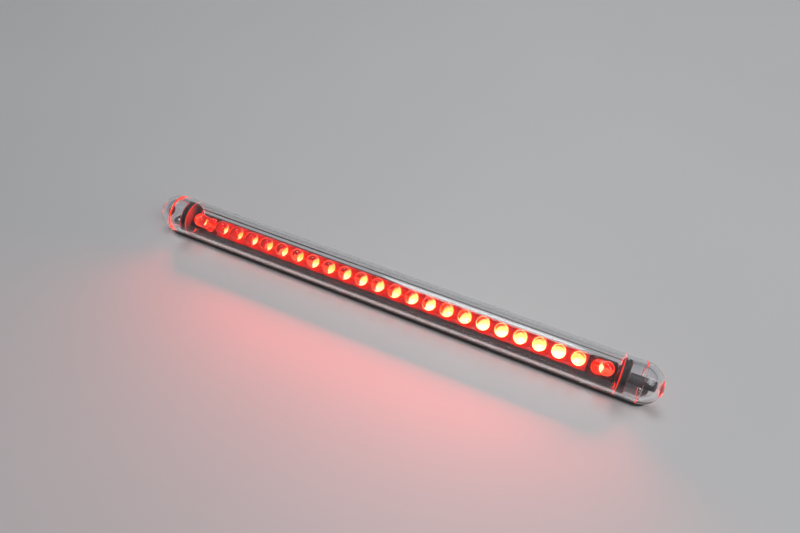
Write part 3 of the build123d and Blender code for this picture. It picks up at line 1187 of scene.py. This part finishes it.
def make_board_tracks():
    """The copper under the board's black varnish, cut from a sheet and given its thickness."""
    runs = board_copper()
    length = 2 * TERMINAL_X + TRACK_WIDTH
    width = 2 * SUPPLY_TRACK_Y + TRACK_WIDTH
    tracks = start_piece(
        "board_tracks",
        bpy.ops.mesh.primitive_grid_add,
        x_subdivisions=round(length / TRACK_CELL),
        y_subdivisions=round(width / TRACK_CELL),
        size=1,
    )
    tracks.scale = (length, width, 1)
    bake_place(tracks)
    edit(tracks)
    select_faces(
        tracks,
        lambda middle: not any(
            x_low < middle.x < x_high and y_low < middle.y < y_high
            for x_low, x_high, y_low, y_high in runs
        ),
    )
    bpy.ops.mesh.delete(type="FACE")
    bpy.ops.mesh.select_all(action="SELECT")
    bpy.ops.mesh.dissolve_limited(angle_limit=math.radians(1))
    bpy.ops.mesh.extrude_region_move()
    bpy.ops.transform.translate(value=(0, 0, -TRACK_THICKNESS))
    bpy.ops.mesh.select_all(action="SELECT")
    bpy.ops.mesh.normals_make_consistent(inside=False)
    leave_edit()
    tracks.data.transform(LAMP @ Matrix.Translation((0, 0, BOARD_BOTTOM)))
    finish_piece(tracks, varnished_copper(), "board_laminate")


# ---- finishes of the CAD pieces that stay


def paint_nodes(material, *names):
    for name in names:
        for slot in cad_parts[name].material_slots:
            slot.material = material


def paint_cad():
    paint_nodes(foam_tape(), "adhesive_tape")
    paint_nodes(solder_mask(), "circuit_board")
    paint_nodes(plated_steel(), "led_cathode_leads", "led_anode_leads", "diode_tabs")
    paint_nodes(die_light(), "led_dies")
    solder = bright_solder()
    paint_nodes(solder, "solder_joints", "resistor_end_caps")
    paint_nodes(solder, "positive_terminal", "negative_terminal")
    resistors = [f"resistor_{number + 1}" for number in range(LED_COUNT // LEDS_PER_STRING)]
    paint_nodes(chip_ceramic(), "polarity_diode", *resistors)


# ---- stage, light and camera


def make_floor():
    floor = start_piece("floor", bpy.ops.mesh.primitive_plane_add, size=FLOOR_SIZE)
    floor.data.materials.append(floor_paint())


def direction_from(azimuth, elevation):
    """The unit vector from the lamp towards a place round it. Azimuth 0 is the front."""
    return Vector(
        (
            math.sin(azimuth) * math.cos(elevation),
            -math.cos(azimuth) * math.cos(elevation),
            math.sin(elevation),
        )
    )


def look_back(holder, target, azimuth, elevation, distance):
    """Stands a light or camera off from the target, looking at it."""
    direction = direction_from(azimuth, elevation)
    holder.location = target + direction * distance
    holder.rotation_euler = (-direction).to_track_quat("-Z", "Y").to_euler()
    bpy.context.scene.collection.objects.link(holder)


def soft_light(name, azimuth, elevation, size, power):
    light = bpy.data.lights.new(name, "AREA")
    light.size = size
    light.energy = power
    holder = bpy.data.objects.new(name, light)
    centre = Vector((0, 0, AXIS_HEIGHT))
    look_back(
        holder, centre, math.radians(azimuth), math.radians(elevation), SOFT_LIGHT_DISTANCE
    )


def make_studio_light():
    soft_light("key", azimuth=80, elevation=45, size=0.5, power=2.4)
    soft_light("back", azimuth=190, elevation=65, size=0.35, power=2.4)
    world = bpy.data.worlds.new("studio")
    world.use_nodes = True
    background = world.node_tree.nodes["Background"]
    background.inputs["Color"].default_value = SKY_COLOUR
    background.inputs["Strength"].default_value = SKY_STRENGTH
    bpy.context.scene.world = world


def make_led_light():
    """The light of each LED's dome on what is around the lamp, thrown where the LED points."""
    for index, seat in enumerate(led_seats(), start=1):
        name = f"led_light_{index:02d}"
        light = bpy.data.lights.new(name, "AREA")
        light.shape = "DISK"
        light.size = 2 * LED_RADIUS
        light.color = LED_LIGHT_COLOUR
        light.energy = ROW_POWER / LED_COUNT
        holder = bpy.data.objects.new(name, light)
        dome = Matrix.Translation((0, 0, LED_HEIGHT - LED_RADIUS))
        upwards = Matrix.Rotation(math.pi, 4, "X")
        holder.matrix_world = LAMP @ seat @ dome @ upwards
        holder.visible_camera = False
        holder.visible_glossy = False
        holder.visible_transmission = False
        bpy.context.scene.collection.objects.link(holder)


def make_camera():
    camera = bpy.data.cameras.new("camera")
    camera.lens = CAMERA_LENS
    camera.sensor_width = CAMERA_SENSOR
    camera.clip_start = 0.01
    camera.clip_end = 20.0
    holder = bpy.data.objects.new("camera", camera)
    look_back(holder, CAMERA_TARGET, CAMERA_AZIMUTH, CAMERA_ELEVATION, CAMERA_DISTANCE)
    bpy.context.scene.camera = holder


bpy.context.scene.view_settings.view_transform = "Standard"

make_camera()
make_floor()
make_studio_light()
make_led_light()
make_leds()
make_clear_tube()
make_end_caps()
make_rubber()
make_smooth_copies()
make_board_tracks()
paint_cad()
